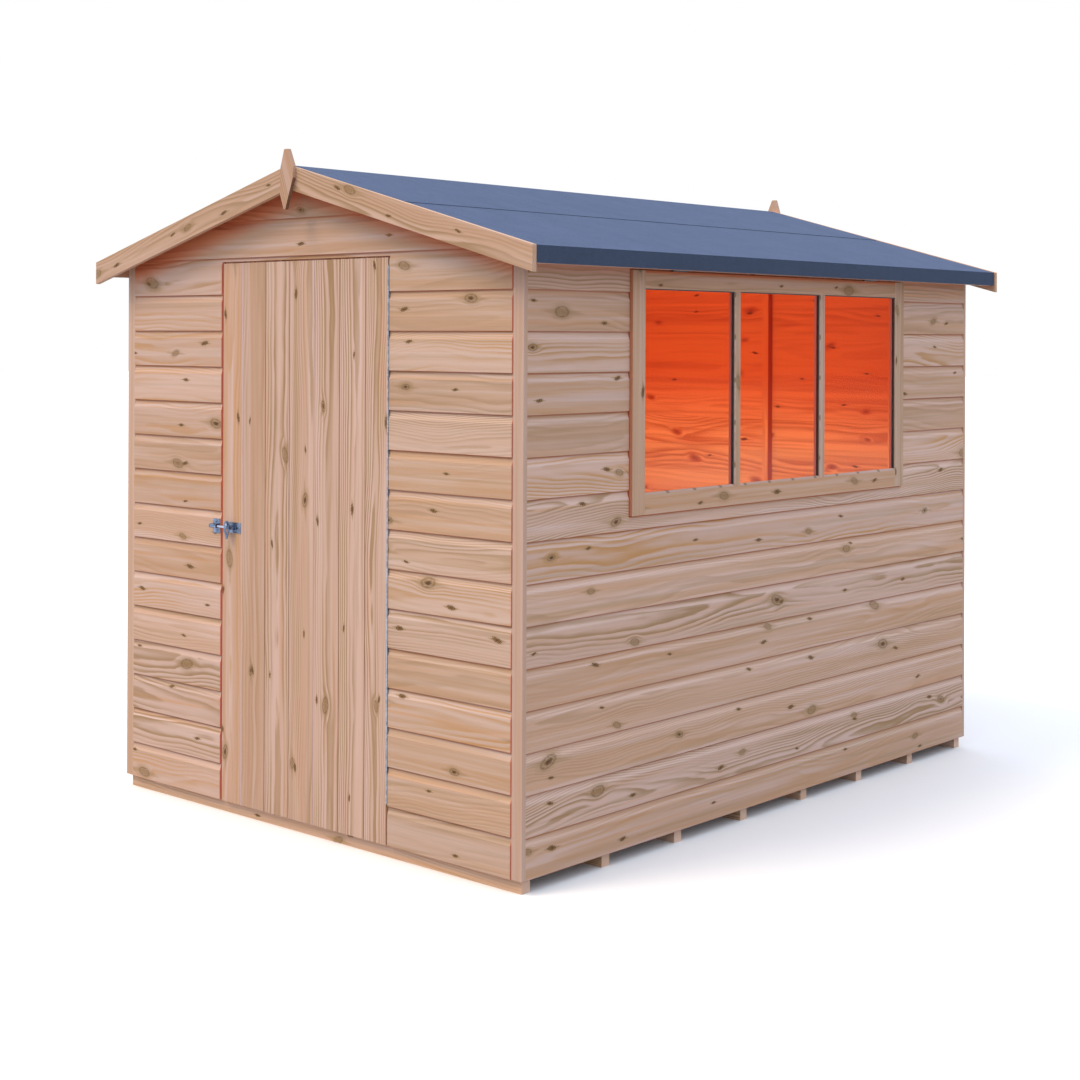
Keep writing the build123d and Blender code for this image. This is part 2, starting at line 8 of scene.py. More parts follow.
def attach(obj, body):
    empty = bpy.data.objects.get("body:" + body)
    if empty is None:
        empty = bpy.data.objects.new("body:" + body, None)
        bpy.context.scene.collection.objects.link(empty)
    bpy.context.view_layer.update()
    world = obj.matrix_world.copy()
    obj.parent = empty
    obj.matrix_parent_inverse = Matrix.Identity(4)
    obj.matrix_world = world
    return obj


# Looks of the garden shed. Metres, +Z up, the front faces -Y and the window looks along +X.
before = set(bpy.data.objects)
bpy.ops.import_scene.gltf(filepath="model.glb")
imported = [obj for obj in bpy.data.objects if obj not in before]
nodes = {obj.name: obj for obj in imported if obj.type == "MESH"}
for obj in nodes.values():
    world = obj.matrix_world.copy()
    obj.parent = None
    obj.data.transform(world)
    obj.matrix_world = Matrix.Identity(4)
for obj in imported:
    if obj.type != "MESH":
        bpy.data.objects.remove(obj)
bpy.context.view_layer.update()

# The same sizes as the solids have, in metres. Walls and cladding:
HALF_WIDTH = 0.895
HALF_LENGTH = 1.215
FRONT_PLANE = -HALF_LENGTH
BOARD = 0.012
PITCH = 0.114
WALL_BOTTOM = 0.039
STRIP_EDGE = 0.8532

# Floor and roof
BEARER_MIDDLE = 0.022
BEARER_STEP = 0.33714
BEARER_START = -1.180 - BEARER_STEP / 2
DECK_PITCH = 0.112
ROOF_BOARD_PITCH = 0.096
RIDGE = 2.0165
SLOPE = math.radians(15.2)
BARGE_DEPTH = 0.072
BARGE_MIDDLE = 1.98
BARGE_FACE = 1.279
FINIAL_LEAN = math.radians(20)
FELT_SEAM = 0.484

# Door and bolt
DOORWAY_LEFT = -0.395
DOORWAY_HEAD = 1.7375
STOP_HEAD = 1.716
DOOR_LEFT = -0.384
DOOR_RIGHT = 0.3675
DOOR_PITCH = 0.113
DOOR_START = (DOOR_LEFT + DOOR_RIGHT) / 2 - 3.5 * DOOR_PITCH
PLATE_FACE = -1.2165
BOLT_Y = -1.223
BOLT_Z = 0.903
RIVET_X = -0.342
RIVET_Z = 0.913

# Window
SASH_FACE = 0.905
SASH_MIDDLE = -0.004
SASH_HALF = 0.754
SASH_LOW = 0.991
LOW_RAIL_MIDDLE = 1.0195
TOP_RAIL_MIDDLE = 1.673
BETWEEN_RAILS = 1.3
PANE_LOW = 1.048
PANE_HIGH = 1.647
PANE_START = -0.700
PANE_WIDTH = 0.442
MULLION = 0.033
BAR_STEP = PANE_WIDTH + MULLION
BAR_START = -0.2415 - 1.5 * BAR_STEP
GLASS_FACE = 0.895
PANES = [PANE_START + index * BAR_STEP for index in range(3)]


def srgb(r, g, b):
    """A colour as it shows on a screen, 0 to 255, as the linear values that a shader takes."""
    out = []
    for value in (r, g, b):
        c = value / 255
        out.append(c / 12.92 if c <= 0.04045 else ((c + 0.055) / 1.055) ** 2.4)
    return (*out, 1.0)


class Nodes:
    """Short names for the nodes of a material or of the world."""

    def __init__(self, tree):
        self.tree = tree
        self.tree.nodes.clear()
        self.place = None
        self.facing = None

    def node(self, kind, **settings):
        made = self.tree.nodes.new(kind)
        for key, value in settings.items():
            setattr(made, key, value)
        return made

    def put(self, socket, value):
        if isinstance(value, bpy.types.NodeSocket):
            self.tree.links.new(value, socket)
        else:
            socket.default_value = value

    def math(self, kind, a, b=0.0, c=0.0):
        made = self.node("ShaderNodeMath", operation=kind)
        for socket, value in zip(made.inputs, (a, b, c)):
            self.put(socket, value)
        return made.outputs[0]

    def add(self, a, b):
        return self.math("ADD", a, b)

    def sub(self, a, b):
        return self.math("SUBTRACT", a, b)

    def mul(self, a, b):
        return self.math("MULTIPLY", a, b)

    def madd(self, a, b, c):
        return self.math("MULTIPLY_ADD", a, b, c)

    def floor(self, a):
        return self.math("FLOOR", a)

    def vector(self, x, y, z):
        made = self.node("ShaderNodeCombineXYZ")
        for socket, value in zip(made.inputs, (x, y, z)):
            self.put(socket, value)
        return made.outputs[0]

    def split(self, value):
        made = self.node("ShaderNodeSeparateXYZ")
        self.put(made.inputs[0], value)
        return made.outputs[0], made.outputs[1], made.outputs[2]

    def step(self, value, low, high, kind="SMOOTHSTEP"):
        """0 below low, 1 above high, and smooth between them."""
        made = self.node("ShaderNodeMapRange", interpolation_type=kind)
        made.inputs["From Min"].default_value = low
        made.inputs["From Max"].default_value = high
        self.put(made.inputs["Value"], value)
        return made.outputs[0]

    def noise(self, where, scale=1.0, detail=2.0, rough=0.5):
        made = self.node("ShaderNodeTexNoise")
        self.put(made.inputs["Vector"], where)
        made.inputs["Scale"].default_value = scale
        made.inputs["Detail"].default_value = detail
        made.inputs["Roughness"].default_value = rough
        return made.outputs["Fac"]

    def cells(self, where, scale):
        made = self.node("ShaderNodeTexVoronoi")
        self.put(made.inputs["Vector"], where)
        made.inputs["Scale"].default_value = scale
        return made

    def chance(self, x, y, z=0.0):
        """Three random numbers that stay the same for the same x, y and z."""
        made = self.node("ShaderNodeTexWhiteNoise", noise_dimensions="3D")
        self.put(made.inputs["Vector"], self.vector(x, y, z))
        return self.split(made.outputs["Color"])

    def mix(self, share, a, b, kind="MIX"):
        made = self.node("ShaderNodeMix", data_type="RGBA", blend_type=kind)
        self.put(made.inputs[0], share)
        self.put(made.inputs[6], a)
        self.put(made.inputs[7], b)
        return made.outputs[2]

    def coordinates(self):
        """The place of a point in the part's own frame, which rides with a body that moves."""
        if self.place is None:
            where = self.node("ShaderNodeTexCoord")
            self.place = self.split(where.outputs["Object"])
            self.facing = self.split(where.outputs["Normal"])
        return self.place

    def normals(self):
        """Which way the surface faces, in the part's own frame."""
        self.coordinates()
        return self.facing

    def bump(self, height, distance, strength):
        made = self.node("ShaderNodeBump")
        made.inputs["Distance"].default_value = distance
        self.put(made.inputs["Strength"], strength)
        self.put(made.inputs["Height"], height)
        return made.outputs[0]

    def looked_at(self):
        """1 for what the camera sees, also in a reflection or through glass, and 0 for light."""
        path = self.node("ShaderNodeLightPath")
        seen = self.math("MAXIMUM", path.outputs["Is Camera Ray"], path.outputs["Is Glossy Ray"])
        return self.math("MAXIMUM", seen, path.outputs["Is Transmission Ray"])


class Shader(Nodes):
    """A material in the making."""

    def __init__(self, name):
        self.material = bpy.data.materials.new(name)
        self.material.use_nodes = True
        super().__init__(self.material.node_tree)
        self.output = self.node("ShaderNodeOutputMaterial")

    def finish(self, colour, roughness, normal=None, **settings):
        shader = self.node("ShaderNodeBsdfPrincipled")
        self.put(shader.inputs["Base Color"], colour)
        self.put(shader.inputs["Roughness"], roughness)
        if normal is not None:
            self.put(shader.inputs["Normal"], normal)
        for key, value in settings.items():
            self.put(shader.inputs[key.replace("_", " ")], value)
        self.tree.links.new(shader.outputs[0], self.output.inputs[0])
        return self.material


# Softwood
PALE = srgb(220, 191, 181)
MIDDLE = srgb(212, 176, 154)
TAN = srgb(203, 163, 136)
AMBER = srgb(212, 158, 112)
OLIVE_LINE = srgb(164, 130, 92)
OCHRE_LINE = srgb(198, 146, 90)
OLIVE = srgb(172, 142, 104)
KNOT = srgb(134, 99, 58)
DARK_KNOT = srgb(82, 52, 27)
# Painted shade in the joints under the boards' feet
JOINT = srgb(172, 88, 52)
# Painted red shade in the doorway and along the right corner strip
RED_EDGE = srgb(238, 146, 122)
CORNER_RED = srgb(212, 122, 98)
# Painted red shade along the sash and at the top of its top rail
SASH_RED = srgb(204, 112, 70)
STAIN = srgb(230, 97, 38)
# Painted light: the inside's stain, lighter low down
STAIN_LOW = srgb(255, 168, 98)
STAIN_LINE = srgb(186, 56, 18)
STAIN_KNOT = srgb(96, 26, 12)
JOINT_IN_SHADE = srgb(160, 120, 92)
JOINT_IN_LIGHT = srgb(232, 212, 216)
REVEAL = srgb(172, 76, 70)
# Painted shade on the finials' downward edges
FINIAL_EDGE = srgb(96, 56, 34)
BEAD_SPOT = srgb(120, 98, 66)
# Painted red shade under the barge boards and the eaves
SHELTERED = srgb(222, 128, 82)
# Painted highlight on the boards' coves and the bearers' ends
COVE = srgb(224, 198, 188)

# The size of a knot that isn't there, which keeps the sums from a division by nothing
NO_KNOT = 0.00004


def distance(s, a, b):
    """The length of the slanted side over a and b."""
    return s.math("SQRT", s.math("MULTIPLY_ADD", a, a, s.mul(b, b)))


class Knots:
    """One knot at most in each stretch of a board.

    push is how far the grain is moved aside, away is the distance from the knot in its own
    radii, tail is 1 in the streaks that run from it, and kind is a random number."""

    def __init__(self, wood, seed, stretch, low, high, share, flat):
        s = wood.s
        length = stretch * wood.crowd
        along = s.math("DIVIDE", wood.u, length)
        along = s.add(along, s.chance(wood.number, seed, 3.0)[0])
        cell = s.floor(along)
        where_along, where_across, how_big = s.chance(cell, wood.number, seed)
        there, lean, self.kind = s.chance(cell, wood.number, seed + 0.5)
        du = s.mul(s.sub(s.sub(along, cell), s.madd(where_along, 0.4, 0.3)), length)
        dv = s.sub(wood.v, s.mul(s.sub(where_across, 0.5), wood.span))
        size = s.madd(s.mul(how_big, how_big), high - low, low)
        size = s.mul(size, s.math("LESS_THAN", there, share * wood.knotty))
        size = s.add(size, NO_KNOT)
        # The grain flows round the knot
        far = s.math("DIVIDE", du, s.mul(size, 2.8))
        off = s.math("DIVIDE", dv, s.mul(size, 1.8))
        near = s.math("EXPONENT", s.mul(s.math("MULTIPLY_ADD", far, far, s.mul(off, off)), -1.0))
        self.push = s.mul(s.mul(dv, near), 0.70)
        tilted = s.madd(du, s.madd(lean, 0.5, -0.25), dv)
        flattened = s.mul(du, flat)
        self.away = s.math("DIVIDE", distance(s, flattened, tilted), size)
        reach = s.math("DIVIDE", s.math("ABSOLUTE", du), size)
        beside = s.math("DIVIDE", s.math("ABSOLUTE", s.madd(du, 0.05, dv)), size)
        self.tail = s.mul(s.step(reach, 10.0, 1.5), s.step(beside, 0.85, 0.10))


class Softwood:
    """A softwood whose grain runs along u, with a new piece of tree for each board.

    along, across, through and board are functions of the shader that give a socket or a number.
    along is measured with the grain and the other two from the middle of the board, since the
    year rings are drawn round a pith that lies near it."""

    seed = 0.0

    # How the wood grew: the width that knots lie in, their number and the stretch that holds
    # one, year rings per metre, how little the pith wanders, and the weight of what shows
    span = 0.08
    knotty = 1.0
    crowd = 1.0
    rings = 120.0
    calm = 1.0
    bold = 0.0
    fibrous = 1.0
    pale = 1.0
    mottled = 1.0
    lines = 1.0
    tint = (1.0, 1.0, 1.0)

    # Masks, which are functions of the shader that give 0 to 1, and the colours that they bring.
    # Apart from the stain masks and the pins along the beads, they paint shade, light and highlights
    # into the colour
    stained = None
    joint = None
    joint_colour = JOINT
    red_edge = None
    edge_colour = RED_EDGE
    sheltered = None
    cove = None
    deep = None

    def __init__(self, name, along, across, through, board=0.0, **chosen):
        for key, value in chosen.items():
            setattr(self, key, value)
        s = self.s = Shader(name)
        self.u, self.v, self.w = along(s), across(s), through(s)
        number = board(s) if callable(board) else board
        self.number = s.add(number, self.seed)
        self.chances = []
        for turn in (1.0, 2.0, 4.0):
            self.chances.extend(s.chance(self.number, self.seed, turn))
        self.big = Knots(
            self, self.seed + 11.3, stretch=0.80, low=0.0085, high=0.0170, share=0.62, flat=0.52
        )
        self.small = Knots(
            self, self.seed + 47.9, stretch=0.46, low=0.0032, high=0.0062, share=0.66, flat=0.40
        )
        self.grow()

    def grow(self):
        """Year rings round a pith that wanders, which makes the long ovals on the boards."""
        s = self.s
        r1, r2, r3, r4, r5, r6 = self.chances[:6]
        vv = s.sub(s.sub(self.v, self.big.push), self.small.push)
        uu = s.madd(r1, 37.0, self.u)
        wander = s.noise(s.vector(s.mul(uu, 1.3), s.mul(r2, 9.0), 0.0), 1.0, 2.0, 0.45)
        drift = s.noise(s.vector(s.mul(uu, 0.9), 4.0, s.mul(r3, 9.0)), 1.0, 1.0)
        v0 = s.madd(s.sub(wander, 0.5), 0.17 * self.calm, s.madd(s.sub(r2, 0.5), 0.09, vv))
        w0 = s.add(s.madd(r3, 0.070, 0.010), s.madd(drift, 0.050 * self.calm, self.w))
        radius = distance(s, v0, w0)
        ripple_place = s.vector(s.mul(uu, 4.0), s.mul(vv, 30.0), s.mul(self.w, 30.0))
        ripple = s.noise(ripple_place, 1.0, 2.0, 0.5)
        phase = s.madd(radius, s.madd(r4, self.rings * 0.8, self.rings * 0.6), ripple)
        phase = s.madd(s.step(self.big.away, 2.6, 0.9), 0.5, phase)
        turn = s.math("FRACT", phase)
        self.line = s.mul(s.step(turn, 0.22, 0.80), s.step(turn, 1.0, 0.86))
        patch = s.noise(s.vector(s.mul(uu, 1.1), s.mul(vv, 16.0), s.mul(r5, 11.0)), 1.0, 2.0)
        self.lined = s.step(r5, 0.25, 0.90)
        share = s.madd(self.lined, 0.56 - self.bold * 0.2, 0.34 + self.bold * 0.6)
        self.force = s.mul(s.step(patch, 0.30, 0.62), s.mul(share, self.lines))
        streak_place = s.vector(s.mul(uu, 0.6), s.mul(vv, 32.0), s.mul(w0, 30.0))
        self.streak = s.noise(streak_place, 1.0, 3.0, 0.62)
        second_place = s.vector(s.mul(uu, 0.9), s.mul(vv, 44.0), s.mul(r6, 17.0))
        self.second = s.noise(second_place, 1.0, 2.0, 0.5)
        fibre_place = s.vector(s.mul(uu, 9.0), s.mul(vv, 520.0), s.mul(self.w, 520.0))
        self.fibre = s.noise(fibre_place, 1.0, 3.0, 0.6)

    def plain_wood(self):
        """Broad streaks of pale, tan and amber, and the darker lines of the year rings."""
        s = self.s
        r6, r7, r8, r9 = self.chances[5:]
        streak, second = self.streak, self.second
        colour = s.mix(s.step(streak, 0.36, 0.60), TAN, MIDDLE)
        share = s.madd(r6, 0.4 * self.pale, 0.5 * self.pale)
        colour = s.mix(s.mul(s.step(streak, 0.50, 0.68), share), colour, PALE)
        colour = s.mix(s.mul(self.lined, (0.55 - self.bold * 0.5) * self.pale), colour, PALE)
        amber = s.madd(r7, 0.6 * self.mottled, 0.05 * self.mottled)
        colour = s.mix(s.mul(s.step(second, 0.54, 0.72), amber), colour, AMBER)
        olive = s.madd(r8, 0.42 * self.mottled, 0.05 * self.mottled)
        colour = s.mix(s.mul(s.step(second, 0.46, 0.30), olive), colour, OLIVE)
        ring = s.mix(s.step(r9, 0.45, 0.75), OLIVE_LINE, OCHRE_LINE)
        return s.mix(s.mul(self.line, self.force), colour, ring)

    def add_knot(self, colour, knot, ragged, faint):
        """A knot with its rim, its heart and the olive streaks that run from it."""
        s = self.s
        away = s.madd(s.sub(ragged, 0.5), 0.75 if faint else 1.7, knot.away)
        grain = s.madd(s.sub(self.fibre, 0.5), 1.2, knot.tail)
        share = 0.50 if faint else 0.80
        colour = s.mix(s.mul(s.step(grain, 0.25, 0.95), share), colour, OLIVE_LINE)
        colour = s.mix(s.mul(s.step(away, 2.1, 1.0), 0.45), colour, OLIVE)
        rings = s.madd(s.math("SINE", s.mul(away, 17.0)), 0.15, 0.42 if faint else 0.95)
        colour = s.mix(s.mul(s.step(away, 1.10, 0.85), rings), colour, KNOT)
        rim = s.mul(s.step(away, 0.70, 0.94), s.step(away, 1.24, 1.00))
        if faint:
            rim = s.mul(rim, s.step(ragged, 0.36, 0.56))
        colour = s.mix(s.mul(rim, 0.42 if faint else 0.75), colour, DARK_KNOT)
        heart = s.mul(s.step(away, 0.62, 0.20), 0.9)
        if faint:
            heart = s.mul(heart, s.step(knot.kind, 0.62, 0.70))
        return s.mix(heart, colour, DARK_KNOT)

    def stain(self, tinted):
        """The red-brown stain of the inside, with painted light that makes it lighter towards the
        floor.
        """
        s = self.s
        low = s.mul(s.step(s.coordinates()[2], 1.38, 0.98), 0.95)
        colour = s.mix(low, STAIN, STAIN_LOW)
        colour = s.mix(s.mul(s.mul(self.line, self.force), 0.65), colour, STAIN_LINE)
        colour = s.mix(s.mul(s.step(self.streak, 0.45, 0.7), 0.45), colour, STAIN_LINE)
        halo = s.math("MAXIMUM", self.small.tail, s.step(self.big.away, 1.7, 0.7))
        colour = s.mix(s.mul(halo, 0.7), colour, STAIN_LINE)
        core = s.mul(s.step(self.big.away, 0.9, 0.2), 0.45)
        core = s.math("MAXIMUM", core, s.step(self.small.away, 1.5, 0.7))
        colour = s.mix(s.mul(core, 0.85), colour, STAIN_KNOT)
        if self.deep is not None:
            colour = s.mix(s.mul(self.deep(s), 0.75), colour, STAIN_LINE)
        return s.mix(1.0, colour, tinted, "MULTIPLY")

    def material(self):
        """The layers from the bare wood outwards: painted cove highlight, knots, painted shade under
        the eaves, tint, joints with their painted shade and light, stain, and painted red shade
        lines.
        """
        s = self.s
        colour = self.plain_wood()
        # Painted highlight, fainter on the ring lines
        if self.cove is not None:
            colour = s.mix(s.mul(self.cove(s), s.madd(self.line, -0.6, 1.0)), colour, COVE)
        ragged = s.noise(s.vector(s.mul(self.u, 80.0), s.mul(self.v, 170.0), self.number), 1.0, 2.0)
        colour = self.add_knot(colour, self.big, ragged, True)
        torn = s.noise(s.vector(s.mul(self.u, 190.0), s.mul(self.v, 380.0), self.number), 1.0, 2.0)
        colour = self.add_knot(colour, self.small, torn, False)
        # Painted red shade under the barge boards and the eaves
        if self.sheltered is not None:
            sheltered = s.mix(s.mul(self.line, 0.4), SHELTERED, STAIN_LINE)
            colour = s.mix(self.sheltered(s), colour, sheltered)
        plain = s.madd(self.fibre, 0.20 * self.fibrous, 1.0 - 0.10 * self.fibrous)
        plain = s.mul(plain, s.madd(self.chances[3], 0.12, 0.94))
        tinted = s.vector(*(s.mul(plain, share) for share in self.tint))
        colour = s.mix(1.0, colour, tinted, "MULTIPLY")
        # Painted shade and light along joints and edges; on the beads, pins and knots
        if self.joint is not None:
            tone = self.joint_colour(s) if callable(self.joint_colour) else self.joint_colour
            colour = s.mix(self.joint(s), colour, tone)
        smooth = 0.55 * self.fibrous
        if self.stained is not None:
            inside = self.stain(tinted)
            mask = self.stained(s)
            partly = mask != 1.0
            colour = s.mix(mask, colour, inside) if partly else inside
            smooth = s.madd(mask, -0.45 * self.fibrous, smooth) if partly else 0.1 * self.fibrous
        # Painted red shade lines
        if self.red_edge is not None:
            tone = self.edge_colour(s) if callable(self.edge_colour) else self.edge_colour
            colour = s.mix(self.red_edge(s), colour, tone)
        height = s.madd(self.line, -0.5, s.mul(self.fibre, 0.5))
        normal = s.bump(height, 0.0006, smooth)
        rough = s.madd(self.fibre, 0.16, 0.60)
        return s.finish(colour, rough, normal, Specular_IOR_Level=0.32)


def softwood(name, along, across, through, board=0.0, **chosen):
    """The material for one kind of board, with what is chosen from Softwood's own values."""
    return Softwood(name, along, across, through, board, **chosen).material()


def axis(index, offset=0.0, sign=1.0):
    """One coordinate of the part, shifted and perhaps turned round."""

    def pick(s):
        value = s.coordinates()[index]
        if sign == 1.0 and offset == 0.0:
            return value
        return s.madd(value, sign, offset)

    return pick


def depth(index, face):
    """How far out a point stands from a face that the part has on both of its sides."""

    def pick(s):
        return s.sub(s.math("ABSOLUTE", s.coordinates()[index]), face)

    return pick


def row(index, start, pitch):
    """The number of the board, counted along one coordinate."""

    def pick(s):
        return s.floor(s.math("DIVIDE", s.sub(s.coordinates()[index], start), pitch))

    return pick


def within_row(index, start, pitch):
    """The place within a board, from its middle."""

    def pick(s):
        value = s.math("DIVIDE", s.sub(s.coordinates()[index], start), pitch)
        return s.mul(s.sub(s.math("FRACT", value), 0.5), pitch)

    return pick


def solid_number(parts):
    """A number for each separate solid, from signs and steps of its place."""

    def pick(s):
        total = 0.0
        for index, size, weight in parts:
            step = s.floor(s.math("DIVIDE", s.coordinates()[index], size))
            total = s.madd(step, weight, total)
        return total

    return pick


def inside_of(index, plane, sign):
    """1 on the inner face of a wall's boards, and 0 outside."""

    def pick(s):
        inwards = s.mul(s.sub(s.coordinates()[index], plane), sign)
        return s.step(inwards, BOARD - 0.0008, BOARD - 0.0004)

    return pick


def everywhere(s):
    return 1.0


def facing(index):
    """1 on the faces that look along one of the axes."""

    def pick(s):
        return s.step(s.math("ABSOLUTE", s.normals()[index]), 0.5, 0.8)

    return pick


def upright_stops(s):
    """The upright stops of the doorway are stained, and the one across its head is bare."""
    return s.step(s.coordinates()[2], STOP_HEAD + 0.0005, STOP_HEAD - 0.0005)


def height_in_board(s):
    """The height over the foot of the wall board that a point lies on."""
    z = s.coordinates()[2]
    return s.mul(s.math("FRACT", s.math("DIVIDE", s.sub(z, WALL_BOTTOM), PITCH)), PITCH)


def lap_shadow(s):
    """Painted shade in the joint under each board's foot."""
    place = height_in_board(s)
    top = s.step(place, PITCH - 0.0062, PITCH - 0.0030)
    foot = s.step(place, 0.0012, 0.0002)
    return s.mul(s.math("MAXIMUM", top, foot), 0.50)


def cove_light(s):
    """A painted highlight on the hollow at the top of each board."""
    place = height_in_board(s)
    return s.mul(s.mul(s.step(place, 0.0830, 0.0890), s.step(place, 0.1070, 0.0930)), 0.50)


def under_barge(s):
    """Painted red shade: 1 right under a barge board, and 0 well below it."""
    x, _, z = s.coordinates()
    edge = s.madd(s.math("ABSOLUTE", x), -math.tan(SLOPE), RIDGE - BARGE_DEPTH)
    return s.mul(s.step(s.sub(edge, z), 0.070, -0.004), 0.9)


def under_eave(low, high, share):
    """Painted shade: 0 at the lower height, growing to the share right under the eaves of a side
    wall.
    """

    def pick(s):
        return s.mul(s.step(s.coordinates()[2], low, high), share)

    return pick


def front_edges(s):
    """Painted red shade: a narrow line along the right corner strip, and the boards' sawn ends in the
    doorway.
    """
    x, _, z = s.coordinates()
    corner = s.step(x, STRIP_EDGE - 0.0010, STRIP_EDGE + 0.0010)
    ends = s.step(x, DOORWAY_LEFT - 0.0010, DOORWAY_LEFT - 0.0004)
    ends = s.mul(ends, s.math("LESS_THAN", x, 0.0))
    ends = s.mul(ends, s.math("LESS_THAN", z, DOORWAY_HEAD))
    return s.math("MAXIMUM", s.mul(corner, 0.8), s.mul(ends, 0.9))


def front_edge_tone(s):
    """The painted red shade is duller in the open at the corners than in the shade of the doorway."""
    corner = s.step(s.coordinates()[0], STRIP_EDGE - 0.05, STRIP_EDGE - 0.03)
    return s.mix(corner, RED_EDGE, CORNER_RED)


def under_sash(s):
    """A painted red shadow line along the foot of the window sash."""
    _, y, z = s.coordinates()
    beside = s.math("LESS_THAN", s.math("ABSOLUTE", s.sub(y, SASH_MIDDLE)), SASH_HALF + 0.004)
    under = s.step(z, SASH_LOW - 0.0075, SASH_LOW - 0.0025)
    under = s.mul(under, s.math("LESS_THAN", z, BETWEEN_RAILS))
    return s.mul(s.mul(beside, under), 0.85)


def sash_edges(s):
    """Painted shade on the outer sides of the sash, which stand in shade beside the cladding."""
    away = s.math("ABSOLUTE", s.sub(s.coordinates()[1], SASH_MIDDLE))
    return s.mul(s.step(away, SASH_HALF - 0.0006, SASH_HALF - 0.0002), 0.6)


def front_board(s):
    """Left and right of the door, each row has a board of its own; over it one board runs across."""
    x, _, z = s.coordinates()
    right_side = s.mul(s.math("GREATER_THAN", x, 0.0), s.math("LESS_THAN", z, DOORWAY_HEAD))
    return s.madd(right_side, 31.0, rows(s))


def nearest_joint(s):
    """The number of the nearest joint between two door boards, and the distance to it."""
    place = s.math("DIVIDE", s.sub(s.coordinates()[0], DOOR_START), DOOR_PITCH)
    number = s.floor(s.add(place, 0.5))
    return number, s.mul(s.math("ABSOLUTE", s.sub(place, number)), DOOR_PITCH)


def door_joints(s):
    """A thin line down each joint of the door."""
    away = nearest_joint(s)[1]
    outside = s.math("LESS_THAN", s.coordinates()[1], FRONT_PLANE + 0.004)
    return s.mul(s.mul(s.step(away, 0.0026, 0.0014), outside), 0.75)


def door_joint_tone(s):
    """Some joints catch the light and the others are in shade."""
    number = nearest_joint(s)[0]
    lit = s.step(s.chance(number, 5.0, 8.0)[0], 0.50, 0.56)
    return s.mix(lit, JOINT_IN_SHADE, JOINT_IN_LIGHT)


def sawn_ends(s):
    """The bearers' ends, painted paler than their sides as a painted highlight."""
    return s.mul(facing(0)(s), 0.45)


def down_slope(s):
    """Distance along a barge board, which falls both ways from the ridge."""
    return s.mul(s.coordinates()[0], math.cos(SLOPE))


def over_slope(s):
    """Height across a barge board, square to its slope."""
    x, _, z = s.coordinates()
    rise = s.madd(s.math("ABSOLUTE", x), math.tan(SLOPE), z)
    return s.mul(s.sub(rise, BARGE_MIDDLE), math.cos(SLOPE))


def across_finial(way):
    """The coordinate across a finial's grain where way is above 0, and along it otherwise."""

    def pick(s):
        x, _, z = s.coordinates()
        if way > 0:
            return s.madd(x, math.cos(FINIAL_LEAN), s.mul(z, math.sin(FINIAL_LEAN)))
        return s.madd(z, math.cos(FINIAL_LEAN), s.mul(x, -math.sin(FINIAL_LEAN)))

    return pick


def under_edges(s):
    """Painted shade on the sawn edges that look down."""
    return s.mul(s.step(s.normals()[2], -0.10, -0.30), 0.75)


def bar_shades(s):
    """The part of a window bar that stands behind the pane, painted with the red light of the inside.
    """
    return s.mul(s.step(s.coordinates()[0], SASH_FACE - 0.010, SASH_FACE - 0.0125), 0.9)


def rail_height(s):
    """The height within a sash rail, from its middle."""
    z = s.coordinates()[2]
    upper = s.math("GREATER_THAN", z, BETWEEN_RAILS)
    return s.sub(z, s.madd(upper, TOP_RAIL_MIDDLE - LOW_RAIL_MIDDLE, LOW_RAIL_MIDDLE))


def look(node_names, material):
    """Gives one material to the named solids."""
    for name in node_names.split():
        target = nodes[name]
        target.data.materials.clear()
        target.data.materials.append(material)


rows = row(2, WALL_BOTTOM, PITCH)
in_row = within_row(2, WALL_BOTTOM, PITCH)
end_and_side = solid_number([(0, 0.5, 1.0), (1, 0.7, 3.0)])
stud_at_end = solid_number([(0, 0.12, 1.0), (1, 0.7, 3.0)])
rail_at_end = solid_number([(2, 0.12, 1.0), (1, 0.7, 3.0)])
stud_at_side = solid_number([(1, 0.12, 1.0), (0, 0.7, 3.0)])
rail_at_side = solid_number([(2, 0.12, 1.0), (0, 0.4, 3.0)])
barge_side = solid_number([(0, 3.0, 1.0), (1, 3.0, 3.0)])


def front_wood(name, tint):
    """The boards of the front wall, which differ a little in tone from side to side."""
    return softwood(
        name, axis(0), in_row, axis(1, HALF_LENGTH), front_board,
        seed=1.0, stained=inside_of(1, FRONT_PLANE, 1.0), joint=lap_shadow, red_edge=front_edges,
        edge_colour=front_edge_tone, sheltered=under_barge, crowd=0.85, tint=tint,
    )


look("front_boards_left front_boards_gable", front_wood("front_boards_wood", (0.985, 0.975, 0.96)))
look("front_boards_right", front_wood("front_right_wood", (0.93, 0.93, 0.885)))
look(
    "rear_boards",
    softwood(
        "rear_boards_wood", axis(0), in_row, axis(1, HALF_LENGTH, -1.0), rows,
        seed=2.0, stained=inside_of(1, HALF_LENGTH, -1.0), joint=lap_shadow, sheltered=under_barge,
        crowd=0.65, cove=cove_light,
    ),
)
look(
    "left_boards",
    softwood(
        "left_boards_wood", axis(1), in_row, axis(0, HALF_WIDTH), rows,
        seed=3.0, stained=inside_of(0, -HALF_WIDTH, 1.0), joint=lap_shadow,
        sheltered=under_eave(1.67, 1.735, 0.9), crowd=0.85, cove=cove_light,
    ),
)
look(
    "right_boards_lower right_boards_front right_boards_rear right_boards_upper",
    softwood(
        "right_boards_wood", axis(1), in_row, axis(0, HALF_WIDTH, -1.0), rows,
        seed=4.0, stained=inside_of(0, HALF_WIDTH, -1.0), joint=lap_shadow, red_edge=under_sash,
        edge_colour=SASH_RED, sheltered=under_eave(1.67, 1.735, 0.9), crowd=0.85,
        cove=cove_light, bold=0.12,
    ),
)
